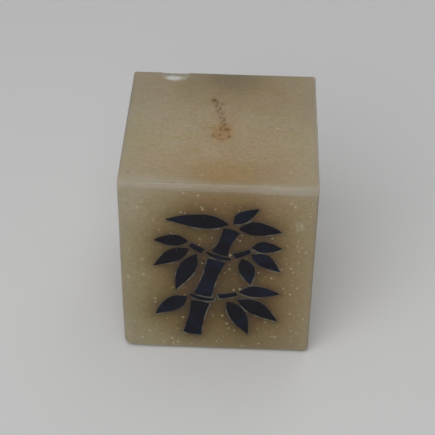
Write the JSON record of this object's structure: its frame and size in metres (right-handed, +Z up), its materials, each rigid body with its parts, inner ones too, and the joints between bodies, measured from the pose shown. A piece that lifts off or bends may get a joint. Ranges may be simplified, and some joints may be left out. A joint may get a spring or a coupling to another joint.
{
  "type": "block candle",
  "caption": "Square block candle in translucent tan wax, with a bamboo sprig inlaid in dark wax on the front face and a wick laid down into the top.",
  "frame": {"origin": "centre of the base, on the plane that the block stands on", "axes": "+Z up, -Y towards the face with the motif, +X to the right of a person looking at that face"},
  "size_m": [0.075, 0.076, 0.0852],
  "materials": {
    "tan_wax": "satin, translucent wax",
    "ink_wax": "satin, dark blue-black wax",
    "orange_wax": "satin, translucent wax",
    "cotton": "braided cotton soaked with wax",
    "tinplate": "thin pressed tinplate"
  },
  "bodies": {
    "root": {"wax_block": "tan_wax", "wick": "cotton", "wick_plug": "orange_wax", "wick_sustainer": "tinplate", "ink_branch_left": "ink_wax", "ink_branch_low": "ink_wax", "ink_branch_right": "ink_wax", "ink_joint_lower": "ink_wax", "ink_joint_upper": "ink_wax", "ink_leaf_01": "ink_wax", "ink_leaf_02": "ink_wax", "ink_leaf_03": "ink_wax", "ink_leaf_04": "ink_wax", "ink_leaf_05": "ink_wax", "ink_leaf_06": "ink_wax", "ink_leaf_07": "ink_wax", "ink_leaf_08": "ink_wax", "ink_leaf_09": "ink_wax", "ink_leaf_10": "ink_wax", "ink_leaf_11": "ink_wax", "ink_leaf_12": "ink_wax", "ink_leaf_13": "ink_wax", "ink_stalk_lower": "ink_wax", "ink_stalk_middle": "ink_wax", "ink_stalk_upper": "ink_wax"}
  },
  "joints": []
}
